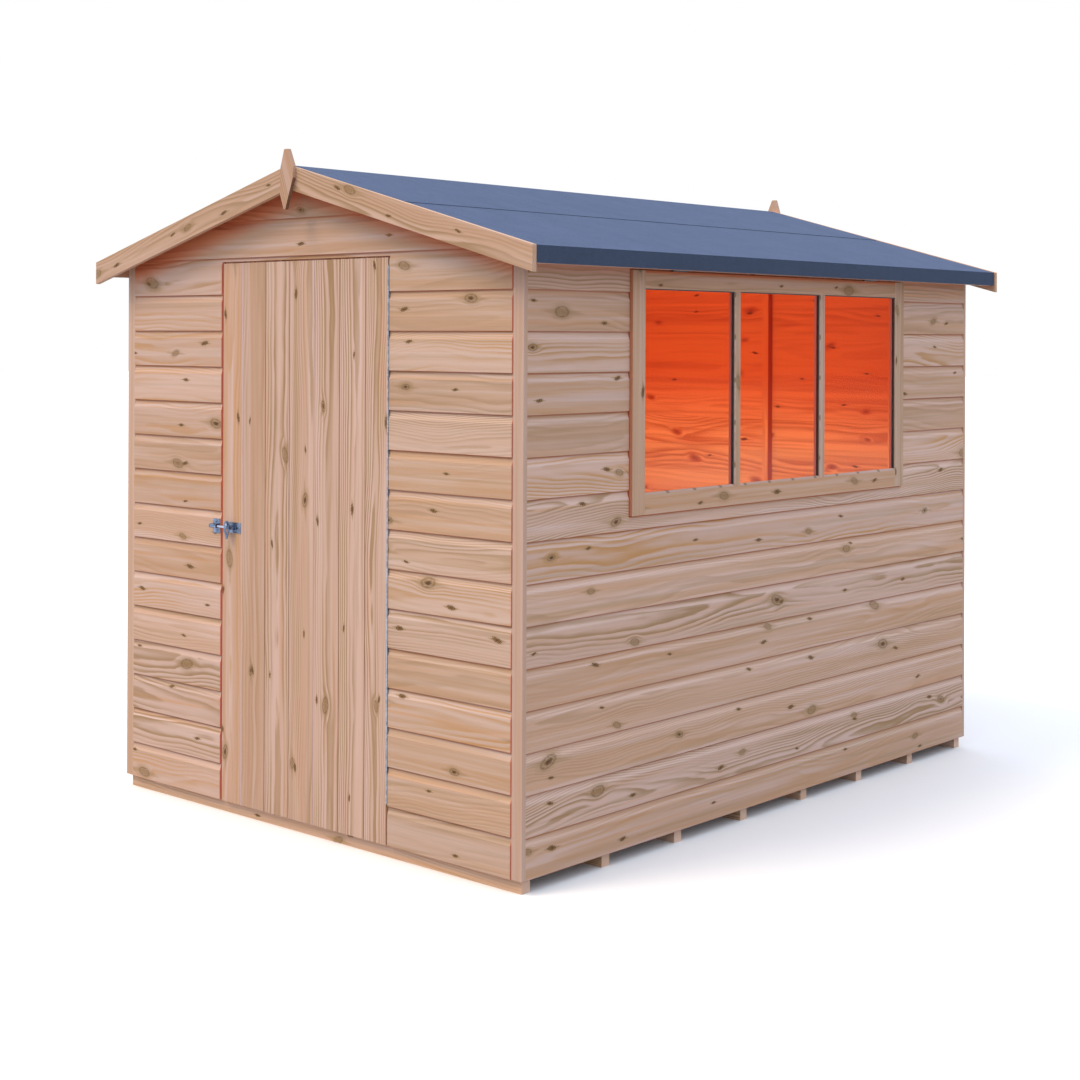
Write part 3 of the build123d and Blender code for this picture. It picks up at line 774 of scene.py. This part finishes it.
look(
    "door_boards",
    softwood(
        "door_boards_wood", axis(2), within_row(0, DOOR_START, DOOR_PITCH), axis(1, HALF_LENGTH),
        row(0, DOOR_START, DOOR_PITCH),
        seed=5.0, stained=inside_of(1, FRONT_PLANE, 1.0), knotty=1.3, calm=0.45, bold=0.15,
        fibrous=0.35, joint=door_joints, joint_colour=door_joint_tone, tint=(0.985, 0.965, 0.95),
    ),
)
look(
    "door_ledges",
    softwood(
        "door_ledges_wood", axis(0), axis(2), axis(1), solid_number([(2, 0.5, 1.0)]),
        seed=6.0, stained=everywhere, span=0.05,
    ),
)
look(
    "door_braces",
    softwood(
        "door_braces_wood", axis(2), axis(0), axis(1), solid_number([(2, 0.9, 1.0)]),
        seed=7.0, stained=everywhere,
    ),
)
look(
    "corner_strips",
    softwood(
        "corner_strips_wood", axis(2), depth(0, HALF_WIDTH), depth(1, HALF_LENGTH), end_and_side,
        seed=8.0, knotty=0.0, rings=240.0, calm=0.2, bold=-0.45, pale=0.35, mottled=0.25,
        lines=0.3, fibrous=0.35, tint=(0.955, 0.965, 0.98),
    ),
)
look(
    "front_studs rear_studs",
    softwood(
        "end_studs_wood", axis(2), axis(0), depth(1, HALF_LENGTH), stud_at_end,
        seed=9.0, stained=everywhere, knotty=0.3, rings=240.0, deep=facing(0),
    ),
)
look(
    "front_rails rear_rails front_rafters rear_rafters",
    softwood(
        "end_rails_wood", axis(0), axis(2), axis(1), rail_at_end,
        seed=10.0, stained=everywhere, knotty=0.3, rings=240.0,
    ),
)
look(
    "left_studs right_studs",
    softwood(
        "side_studs_wood", axis(2), axis(1), axis(0), stud_at_side,
        seed=11.0, stained=everywhere, knotty=0.3, rings=240.0, deep=facing(0),
    ),
)
look(
    "left_rails right_rails roof_purlins roof_ridge_board",
    softwood(
        "side_rails_wood", axis(1), axis(2), axis(0), rail_at_side,
        seed=12.0, stained=everywhere, knotty=0.3, rings=240.0,
    ),
)
look(
    "floor_bearers",
    softwood(
        "floor_bearers_wood", axis(0), axis(2, -BEARER_MIDDLE),
        within_row(1, BEARER_START, BEARER_STEP), row(1, BEARER_START, BEARER_STEP),
        seed=27.0, knotty=0.35, crowd=0.7, span=0.03, rings=280.0, calm=0.3, bold=0.5, pale=0.6,
        cove=sawn_ends, tint=(1.33, 1.33, 1.27),
    ),
)
look(
    "floor_boards",
    softwood(
        "floor_boards_wood", axis(1), within_row(0, 0.0, DECK_PITCH), axis(2),
        row(0, 0.0, DECK_PITCH), seed=14.0, knotty=0.7,
    ),
)
look(
    "roof_boards_left roof_boards_right",
    softwood(
        "roof_boards_wood", axis(0), within_row(1, 0.0, ROOF_BOARD_PITCH), axis(2),
        row(1, 0.0, ROOF_BOARD_PITCH), seed=15.0, knotty=0.6,
    ),
)
look(
    "roof_eave_battens",
    softwood(
        "eave_battens_wood", axis(1), axis(2), axis(0), solid_number([(0, 0.5, 1.0)]),
        seed=16.0, knotty=0.2, rings=240.0,
    ),
)
look(
    "barge_front_left barge_front_right barge_rear_left barge_rear_right",
    softwood(
        "barge_boards_wood", down_slope, over_slope, depth(1, BARGE_FACE), barge_side,
        seed=17.0, span=0.050, rings=120.0, knotty=1.3, crowd=0.55, bold=0.7, pale=0.4,
        tint=(0.915, 0.905, 0.885),
    ),
)
look(
    "finial_front finial_rear",
    softwood(
        "finials_wood", across_finial(-1.0), across_finial(1.0), depth(1, BARGE_FACE),
        solid_number([(1, 3.0, 1.0)]), seed=18.0, knotty=0.0, rings=180.0, bold=0.3, pale=0.5,
        joint=under_edges, joint_colour=FINIAL_EDGE, tint=(0.93, 0.90, 0.87),
    ),
)
look(
    "window_stiles window_mullions",
    softwood(
        "window_stiles_wood", axis(2), within_row(1, BAR_START, BAR_STEP), depth(0, SASH_FACE),
        row(1, BAR_START, BAR_STEP),
        seed=19.0, span=0.02, knotty=0.9, crowd=0.8, rings=240.0, calm=0.2, bold=-0.1, pale=0.6,
        joint=bar_shades, joint_colour=REVEAL, red_edge=sash_edges, edge_colour=SASH_RED,
        fibrous=0.6, tint=(0.955, 0.975, 0.96),
    ),
)
look(
    "window_rails",
    softwood(
        "window_rails_wood", axis(1), rail_height, depth(0, SASH_FACE),
        solid_number([(2, BETWEEN_RAILS, 1.0)]),
        seed=23.0, knotty=1.0, crowd=0.7, rings=200.0, span=0.03, calm=0.4, bold=-0.15, pale=0.7,
        sheltered=under_eave(1.682, 1.699, 0.75), red_edge=under_eave(1.691, 1.696, 0.8),
        edge_colour=SASH_RED, fibrous=0.6, tint=(0.96, 0.925, 0.86),
    ),
)
look(
    "door_stops",
    softwood(
        "door_stops_wood", axis(2), axis(0), axis(1), solid_number([(0, 0.3, 1.0)]),
        seed=21.0, stained=upright_stops, knotty=0.1, rings=240.0, tint=(1.2, 1.15, 1.1),
    ),
)


def felt_material():
    """Mineral felt: blue-grey granules with a faint mottle, and soft bands down the slope."""
    s = Shader("roof_felt_mineral")
    x, y, z = s.coordinates()
    place = s.vector(x, y, z)
    grain = s.cells(place, 620.0)
    value = s.split(grain.outputs["Color"])[0]
    mottle = s.noise(place, 9.0, 3.0, 0.6)
    bands = s.noise(s.vector(s.mul(x, 1.6), s.mul(y, 34.0), s.mul(z, 1.6)), 1.0, 2.0)
    clusters = s.noise(place, 140.0, 2.0, 0.6)
    colour = s.mix(s.step(value, 0.0, 1.0, "LINEAR"), srgb(56, 71, 101), srgb(83, 102, 137))
    colour = s.mix(s.mul(s.step(clusters, 0.35, 0.7), 0.30), colour, srgb(46, 57, 84))
    colour = s.mix(s.mul(s.step(mottle, 0.3, 0.7), 0.22), colour, srgb(87, 104, 139))
    colour = s.mix(s.mul(s.step(bands, 0.4, 0.62), 0.16), colour, srgb(54, 68, 99))
    # Painted shade: the faces that look along X, down at the eaves, are darker and greyer
    eave = s.step(s.math("ABSOLUTE", s.normals()[0]), 0.6, 0.9)
    colour = s.mix(s.mul(eave, 0.55), colour, srgb(44, 53, 64))
    # Painted shadow: a dark line just below the ridge strip's lower edge
    from_ridge = s.math("ABSOLUTE", x)
    seam = s.mul(s.step(from_ridge, FELT_SEAM - 0.002, FELT_SEAM),
                 s.step(from_ridge, FELT_SEAM + 0.004, FELT_SEAM + 0.002))
    colour = s.mix(s.mul(seam, 0.85), colour, srgb(34, 42, 62))
    height = s.add(s.mul(value, 0.6), s.mul(clusters, 0.6))
    normal = s.bump(height, 0.0009, 0.6)
    rough = s.madd(value, 0.12, 0.80)
    return s.finish(
        colour, rough, normal, Specular_IOR_Level=0.3,
        Sheen_Weight=0.10, Sheen_Roughness=0.5, Sheen_Tint=srgb(150, 175, 225),
    )


look("roof_felt_left roof_felt_right roof_felt_ridge", felt_material())


def galvanised(name, base, dark, worn=None):
    """Zinc-plated steel with a faint cloud and fine scratches, and painted highlights and shade where
    they are given.
    """
    s = Shader(name)
    x, y, z = s.coordinates()
    place = s.vector(x, y, z)
    spangle = s.split(s.cells(place, 160.0).outputs["Color"])[0]
    cloud = s.noise(place, 70.0, 3.0, 0.6)
    colour = s.mix(s.step(cloud, 0.3, 0.75), base, dark)
    colour = s.mix(s.mul(spangle, 0.25), colour, dark)
    if worn is not None:
        bright, rim = worn(s)
        # Painted highlight, then a painted ring of shade
        colour = s.mix(bright, colour, srgb(206, 216, 240))
        colour = s.mix(rim, colour, srgb(52, 66, 96))
    rough = s.madd(cloud, 0.25, 0.24)
    normal = s.bump(cloud, 0.0002, 0.35)
    return s.finish(colour, rough, normal, Metallic=0.85)


def bolt_wear(s):
    """Painted highlights on the rod and on the rivet's head, with a painted ring of shade round the
    head.
    """
    x, y, z = s.coordinates()
    rod = s.step(distance(s, s.sub(y, BOLT_Y), s.sub(z, BOLT_Z)), 0.0042, 0.0037)
    rivet = distance(s, s.sub(x, RIVET_X), s.sub(z, RIVET_Z))
    head = s.mul(s.step(rivet, 0.0050, 0.0046), 0.45)
    rim = s.mul(s.step(rivet, 0.0048, 0.0052), s.step(rivet, 0.0075, 0.0060))
    return s.math("MAXIMUM", s.mul(rod, 0.7), head), s.mul(rim, 0.8)


zinc = galvanised("galvanised_steel", srgb(138, 156, 184), srgb(78, 92, 120))
bolt_steel = galvanised("bolt_steel", srgb(124, 142, 170), srgb(68, 82, 110), bolt_wear)
hinge_steel = galvanised("hinge_strip_steel", srgb(176, 182, 194), srgb(128, 136, 152))
black_iron = galvanised("dark_hinge_steel", srgb(58, 62, 70), srgb(34, 36, 42))
# The bolt's screw is dark steel, and darker still as painted shade of the hole it sits in
screw_steel = galvanised("dark_screw_steel", srgb(62, 74, 82), srgb(34, 42, 48))
look("bolt_plate bolt_keeper", zinc)
look("bolt_rod", bolt_steel)
look("door_hinge_frame_leaf door_hinge_door_leaf", hinge_steel)
look("window_hinges", black_iron)


def glass_material():
    """Clear thin glass, with a faint painted reflection that makes the foot of each pane paler."""
    s = Shader("window_glass_clear")
    shader = s.node("ShaderNodeBsdfPrincipled")
    shader.inputs["Base Color"].default_value = (0.97, 0.985, 0.98, 1.0)
    shader.inputs["Roughness"].default_value = 0.02
    shader.inputs["IOR"].default_value = 1.06
    x, y, z = s.coordinates()
    cloud = s.noise(s.vector(x, s.mul(y, 3.0), s.mul(z, 5.0)), 1.0, 2.0)
    # Painted reflection: less light goes through low on each pane, so it shows paler there
    bloom = s.mul(s.step(z, 1.25, 1.04), s.madd(cloud, 0.03, 0.01))
    s.put(shader.inputs["Transmission Weight"], s.sub(1.0, bloom))
    s.tree.links.new(shader.outputs[0], s.output.inputs[0])
    return s.material


look("window_glass", glass_material())


# Small pieces that the solids leave out: dark seals round the panes, which also stand for painted
# shade in the gap, beads round the panes, and screws
BEAD_DEPTH = 0.0088
BEAD_FACE = 0.9040
BEAD_HEIGHT = 0.0066
BEAD_SLOPE = 0.004
BAR_BEAD_WIDTH = 0.0075
TRIM_FACE = 0.9046
SEAL = 0.0018
SEAL_FACE = 0.9022
TOP_SEAL = 0.0032
BESIDE_BEAD = 0.007
SPOT_STEP = 0.1310
BOLT_SCREW_X = -0.312
KEEPER_SCREW_X = -0.414
KEEPER_SCREW_RISE = 0.0155
SCREW_SIDES = 16
SCREW_HEAD = [
    (1.0, 0.0), (1.0, 0.12), (0.88, 0.34), (0.62, 0.50), (0.36, 0.56), (0.18, 0.30), (0.0, 0.24),
]


def mesh_piece(name, bm, material, body):
    """Makes a piece from mesh data, gives it its finish and lets it ride on a body."""
    mesh = bpy.data.meshes.new(name)
    bmesh.ops.recalc_face_normals(bm, faces=bm.faces)
    bm.to_mesh(mesh)
    bm.free()
    piece = bpy.data.objects.new(name, mesh)
    bpy.context.scene.collection.objects.link(piece)
    mesh.materials.append(material)
    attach(piece, body)
    return piece


def add_bar(bm, low, high, soft):
    """A bar between two corners, with its edges rounded off."""
    made = bmesh.ops.create_cube(bm, size=1.0)["verts"]
    middle = [(a + b) / 2 for a, b in zip(low, high)]
    size = [b - a for a, b in zip(low, high)]
    bmesh.ops.scale(bm, vec=size, verts=made)
    bmesh.ops.translate(bm, vec=middle, verts=made)
    # Each edge once, in an order that stays the same
    edges = list(dict.fromkeys(edge for vert in made for edge in vert.link_edges))
    bmesh.ops.bevel(bm, geom=edges, offset=soft, segments=2, profile=0.5, affect="EDGES")


def add_bead(bm, y0, y1, z0, z1):
    """A bar along Y whose outer top edge slopes to shed the rain."""
    back = BEAD_FACE - BEAD_DEPTH
    outline = [
        (back, z0), (BEAD_FACE, z0), (BEAD_FACE, z1 - BEAD_SLOPE), (BEAD_FACE - BEAD_SLOPE, z1),
        (back, z1),
    ]
    ends = [[bm.verts.new((x, y, z)) for x, z in outline] for y in (y0, y1)]
    bm.faces.new(ends[0])
    bm.faces.new(list(reversed(ends[1])))
    count = len(outline)
    for index in range(count):
        after = (index + 1) % count
        bm.faces.new((ends[0][after], ends[0][index], ends[1][index], ends[1][after]))


def rubber():
    """Black glazing strip, dusty along its edges, which also stands for painted shade in the gap
    beside the pane.
    """
    s = Shader("glazing_strip_black")
    x, y, z = s.coordinates()
    dust = s.noise(s.vector(s.mul(x, 200.0), s.mul(y, 60.0), s.mul(z, 60.0)), 1.0, 3.0, 0.6)
    colour = s.mix(s.step(dust, 0.35, 0.8), srgb(56, 60, 58), srgb(88, 88, 82))
    return s.finish(colour, s.madd(dust, 0.2, 0.5), s.bump(dust, 0.0003, 0.4), Specular_IOR_Level=0.4)


def glazing_strips():
    """A dark seal along the top and down both sides of each pane, partly a real seal and partly
    painted shade.
    """
    bm = bmesh.new()
    back = GLASS_FACE + 0.0002
    foot = PANE_LOW + BESIDE_BEAD
    head = PANE_HIGH - TOP_SEAL - 0.0001
    for near in PANES:
        far = near + PANE_WIDTH
        add_bar(bm, (back, near, PANE_HIGH - TOP_SEAL), (TRIM_FACE, far, PANE_HIGH - 0.0001), 0.0004)
        add_bar(bm, (back, far - SEAL, foot), (SEAL_FACE, far - 0.0001, head), 0.0004)
        add_bar(bm, (back, near + 0.0001, foot), (SEAL_FACE, near + SEAL, head), 0.0004)
    return bm


mesh_piece("glazing_strips", glazing_strips(), rubber(), "shed")


def bead_spots(s):
    """Pins and small knots that come at even steps along the beads."""
    x, y, z = s.coordinates()
    upright = s.math("GREATER_THAN", z, PANE_LOW + BESIDE_BEAD + 0.0005)
    place = s.math("DIVIDE", s.madd(upright, s.sub(z, y), y), SPOT_STEP)
    away = s.mul(s.math("ABSOLUTE", s.sub(s.math("FRACT", place), 0.5)), SPOT_STEP)
    ragged = s.noise(s.vector(s.mul(x, 300.0), s.mul(y, 90.0), s.mul(z, 90.0)), 1.0, 2.0)
    return s.mul(s.step(s.madd(ragged, 0.010, away), 0.0150, 0.0095), 0.70)


bead_wood = softwood(
    "window_beads_wood", axis(1), axis(2), axis(0), 3.0,
    seed=22.0, knotty=0.0, rings=240.0, calm=0.2, bold=-0.6, joint=bead_spots,
    joint_colour=BEAD_SPOT, tint=(0.93, 0.96, 1.04),
)


def window_beads():
    """A sloped bead at the foot of each pane, and a flat one on the near edge of each bar."""
    bm = bmesh.new()
    for near in PANES:
        far = near + PANE_WIDTH
        add_bead(bm, near + 0.0002, far - 0.0002, PANE_LOW + 0.0001, PANE_LOW + BEAD_HEIGHT)
        if near != PANES[-1]:
            edge = far + 0.0002
            low = (TRIM_FACE - 0.0014, edge, PANE_LOW + BESIDE_BEAD)
            high = (TRIM_FACE, edge + BAR_BEAD_WIDTH, PANE_HIGH - 0.0002)
            add_bar(bm, low, high, 0.0005)
    return bm


mesh_piece("window_beads", window_beads(), bead_wood, "shed")


def add_screw(bm, x, face, z, radius):
    """A round-headed screw that looks along -Y, with a cross-shaped recess."""
    rings = []
    for share, rise in SCREW_HEAD[:-1]:
        ring = []
        for index in range(SCREW_SIDES):
            angle = index * 2 * math.pi / SCREW_SIDES
            pinch = 1.0 if share > 0.4 or index % 4 == 0 else 0.62
            reach = radius * share * pinch
            place = (x + reach * math.cos(angle), face - radius * rise, z + reach * math.sin(angle))
            ring.append(bm.verts.new(place))
        rings.append(ring)
    bm.faces.new(list(reversed(rings[0])))
    for outer, inner_ring in zip(rings, rings[1:]):
        for index in range(SCREW_SIDES):
            after = (index + 1) % SCREW_SIDES
            bm.faces.new((outer[index], outer[after], inner_ring[after], inner_ring[index]))
    centre = bm.verts.new((x, face - radius * SCREW_HEAD[-1][1], z))
    for index in range(SCREW_SIDES):
        bm.faces.new((rings[-1][index], rings[-1][(index + 1) % SCREW_SIDES], centre))


def screws(places, radius):
    """Screws of one size, on the plates of the bolt."""
    bm = bmesh.new()
    for x, z in places:
        add_screw(bm, x, PLATE_FACE, z, radius)
    return bm


keeper_places = [(KEEPER_SCREW_X, BOLT_Z + side * KEEPER_SCREW_RISE) for side in (-1, 1)]
mesh_piece(
    "bolt_screw", screws([(BOLT_SCREW_X, BOLT_Z)], 0.0042), screw_steel, "door"
)
mesh_piece("keeper_screws", screws(keeper_places, 0.0040), zinc, "shed")


# Stage: a pale floor, soft light from the front left and above, and the camera of the photo
def floor_material():
    """White to the camera, darker to the light that bounces off it on to the shed."""
    s = Shader("stage_floor_pale")
    colour = s.mix(s.looked_at(), srgb(150, 148, 146), srgb(250, 250, 250))
    x, y, z = s.coordinates()
    fine = s.noise(s.vector(x, y, z), 3.0, 2.0)
    colour = s.mix(s.mul(fine, 0.03), colour, srgb(225, 225, 228))
    return s.finish(colour, 0.9, None, Specular_IOR_Level=0.1)


def make_floor():
    mesh = bpy.data.meshes.new("stage_floor")
    bm = bmesh.new()
    bmesh.ops.create_grid(bm, x_segments=8, y_segments=8, size=60.0)
    bm.to_mesh(mesh)
    bm.free()
    floor = bpy.data.objects.new("stage_floor", mesh)
    bpy.context.scene.collection.objects.link(floor)
    floor.data.materials.append(floor_material())


# The soft light of the dome, from straight across and from straight above
HORIZON_LIGHT = 0.62
ZENITH_LIGHT = 1.70
DOME_COLOUR = (0.83, 0.89, 1.0, 1.0)


def make_world():
    """A dome that lights the shed softly and looks white."""
    world = bpy.data.worlds.new("studio")
    bpy.context.scene.world = world
    world.use_nodes = True
    n = Nodes(world.node_tree)
    light = n.node("ShaderNodeBackground")
    light.inputs["Color"].default_value = DOME_COLOUR
    dome = n.node("ShaderNodeMapRange")
    dome.inputs["To Min"].default_value = HORIZON_LIGHT
    dome.inputs["To Max"].default_value = ZENITH_LIGHT
    heading = n.node("ShaderNodeTexCoord")
    n.put(dome.inputs["Value"], n.split(heading.outputs["Generated"])[2])
    n.put(light.inputs["Strength"], dome.outputs[0])
    white = n.node("ShaderNodeBackground")
    white.inputs["Color"].default_value = (1.0, 1.0, 1.0, 1.0)
    white.inputs["Strength"].default_value = 1.0
    blend = n.node("ShaderNodeMixShader")
    for socket, value in zip(blend.inputs, (n.looked_at(), light.outputs[0], white.outputs[0])):
        n.put(socket, value)
    n.put(n.node("ShaderNodeOutputWorld").inputs[0], blend.outputs[0])


def lamp(name, kind, energy, colour, place, aim, size, tall=None):
    """A lamp that the camera can't see. size is an area's width, or a sun's angle in degrees."""
    data = bpy.data.lights.new(name, kind)
    data.energy = energy
    data.color = colour
    if kind == "AREA":
        data.shape = "RECTANGLE"
        data.size = size
        data.size_y = tall
    if kind == "SUN":
        data.angle = math.radians(size)
    made = bpy.data.objects.new(name, data)
    made.location = place
    made.rotation_euler = (Vector(aim) - Vector(place)).to_track_quat("-Z", "Y").to_euler()
    made.visible_camera = False
    bpy.context.scene.collection.objects.link(made)
    return made


# The camera of the photo: its place, the way it looks, and how far it rolls
CAMERA_PLACE = (4.1416, -4.7823, 1.5033)
YAW = math.radians(41.7677)
ROLL = math.radians(0.23073)
LENS = 59.896
SENSOR = 36.0
SHIFT_Y = -0.18745


def make_camera():
    data = bpy.data.cameras.new("camera")
    camera = bpy.data.objects.new("camera", data)
    bpy.context.scene.collection.objects.link(camera)
    data.sensor_fit = "HORIZONTAL"
    data.sensor_width = SENSOR
    data.lens = LENS
    data.shift_x = 0.0
    data.shift_y = SHIFT_Y
    data.clip_end = 500.0
    forward = Vector((-math.sin(YAW), math.cos(YAW), 0.0))
    right = Vector((math.cos(YAW), math.sin(YAW), 0.0))
    up = Vector((0.0, 0.0, 1.0))
    camera_right = right * math.cos(ROLL) + up * math.sin(ROLL)
    camera_up = up * math.cos(ROLL) - right * math.sin(ROLL)
    turn = Matrix((camera_right, camera_up, -forward)).transposed()
    camera.matrix_world = Matrix.Translation(CAMERA_PLACE) @ turn.to_4x4()
    bpy.context.scene.camera = camera


make_floor()
make_world()
lamp(
    "key", "SUN", energy=1.65, colour=(1.0, 0.80, 0.56), place=(-2.4, -4.6, 8.0),
    aim=(0.0, 0.0, 0.8), size=24.0,
)
inside = lamp(
    "inside", "AREA", energy=19.4, colour=(1.0, 0.95, 0.9), place=(-0.12, -0.78, 1.28),
    aim=(-0.3, 1.2, 0.85), size=0.8, tall=0.5,
)
inside.visible_glossy = False
inside.visible_transmission = False
make_camera()
bpy.context.scene.view_settings.view_transform = "Standard"
